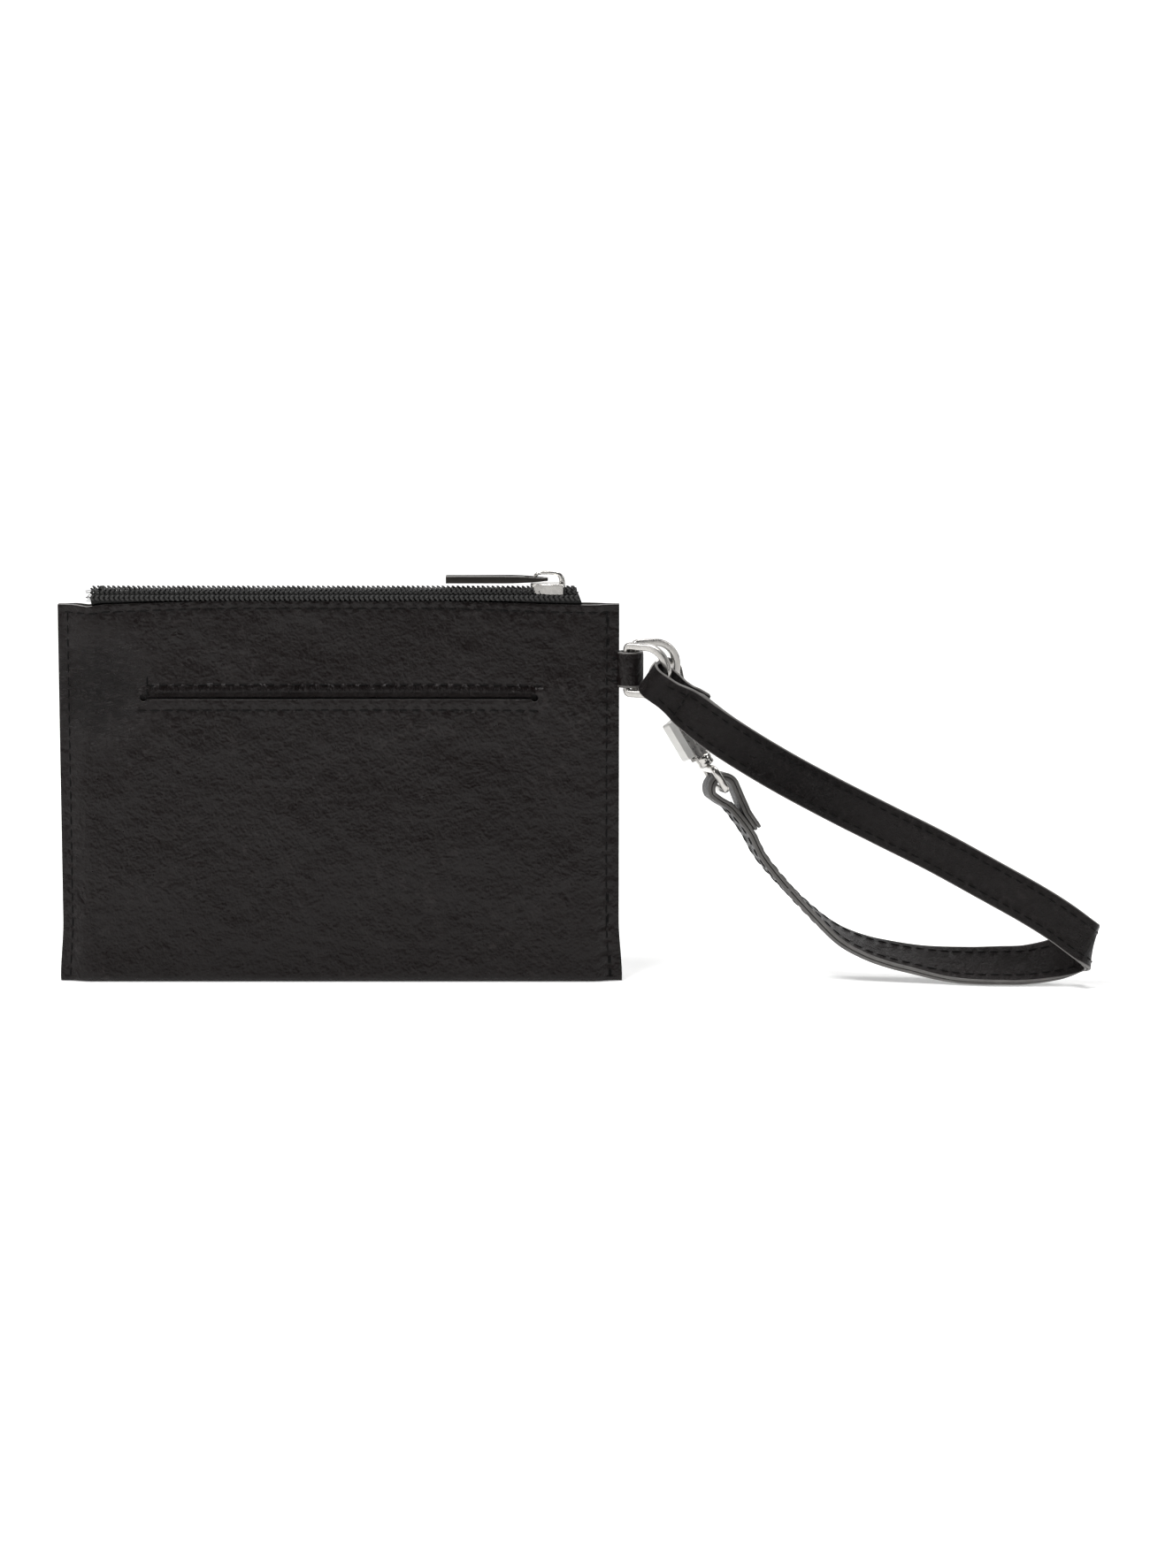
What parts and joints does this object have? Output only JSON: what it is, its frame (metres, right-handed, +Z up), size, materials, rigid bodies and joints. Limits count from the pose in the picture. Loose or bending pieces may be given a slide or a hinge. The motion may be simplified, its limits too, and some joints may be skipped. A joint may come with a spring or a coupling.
{
  "type": "wristlet wallet",
  "caption": "Flat leather zip pouch with a slip pocket, a side tab with D-rings and a clip-on wrist strap with a swivel snap hook.",
  "frame": {"origin": "middle of the flat underside of the pouch's bottom fold", "axes": "+X towards the side tab and the strap, +Y from the slip pocket side to the plain side, +Z up towards the zip"},
  "size_m": [0.2734, 0.0253, 0.1092],
  "materials": {
    "leather": "smooth fine grain, semi-matt",
    "strap_backing": "smooth, matt",
    "lining": "plain weave",
    "zip_tape": "woven tape",
    "zip_coil": "moulded coil",
    "thread": "twisted thread",
    "nickel": "polished nickel plate",
    "dark_nickel": "polished dark nickel plate",
    "spring_steel": "drawn wire"
  },
  "bodies": {
    "pouch": {"pouch_leather": "leather", "lining_bag": "lining", "slip_pocket_bag": "lining", "zip_tape_front": "zip_tape", "zip_tape_back": "zip_tape", "zip_coil_front": "zip_coil", "zip_coil_back": "zip_coil", "zip_end_tacks": "thread", "top_stitching": "thread", "side_stitching": "thread", "slip_pocket_stitching": "thread", "side_tab": "leather", "tab_stitching": "thread"},
    "slider": {"zip_slider": "nickel"},
    "pull": {"zip_pull": "dark_nickel"},
    "strap_ring": {"strap_d_ring": "nickel"},
    "hook_ring": {"hook_d_ring": "nickel"},
    "strap": {"strap_face": "leather", "strap_backing": "strap_backing", "strap_stitching": "thread", "strap_end_tacks": "thread"},
    "swivel": {"swivel_eye": "nickel"},
    "snap_hook": {"hook_frame": "nickel", "bolt_spring": "spring_steel"},
    "bolt": {"hook_bolt": "nickel"}
  },
  "joints": [
    {"name": "slider_slide", "type": "slide", "parent": "pouch", "child": "slider", "axis": [1, 0, 0], "range_m": [-0.111, 0]},
    {"name": "pull_tilt", "type": "hinge", "parent": "slider", "child": "pull", "pos_m": [0.0543, 0, 0.107], "axis": [0, 1, 0], "range_deg": [0, 170]},
    {"name": "strap_ring_swing", "type": "hinge", "parent": "pouch", "child": "strap_ring", "pos_m": [0.07635, 0, 0.0833], "axis": [0, 0, 1], "range_deg": [-45, 60]},
    {"name": "hook_ring_swing", "type": "hinge", "parent": "pouch", "child": "hook_ring", "pos_m": [0.07635, 0, 0.0833], "axis": [0, 0, 1], "range_deg": [-45, 60]},
    {"name": "strap_pivot", "type": "hinge", "parent": "strap_ring", "child": "strap", "pos_m": [0.08493, -0.00645, 0.07963], "axis": [0.509, -0.294, 0.809], "range_deg": [-3, 3]},
    {"name": "eye_pivot", "type": "hinge", "parent": "strap", "child": "swivel", "pos_m": [0.10047, 0.00215, 0.05126], "axis": [-0.1644, 0.9816, -0.0968], "range_deg": [-1.5, 1.5]},
    {"name": "hook_swivel", "type": "hinge", "parent": "swivel", "child": "snap_hook", "pos_m": [0.0955, 0.00215, 0.0597], "axis": [-0.5075, 0, 0.8616], "range_deg": [-4, 4]},
    {"name": "bolt_slide", "type": "slide", "parent": "snap_hook", "child": "bolt", "axis": [0.5075, 0, -0.8616], "range_m": [0, 0.0055], "stiffness_N_per_m": 150, "springref_m": -0.005}
  ],
  "couplings": [
    {"joint": "hook_ring_swing", "follows": "strap_ring_swing", "ratio": 1}
  ]
}
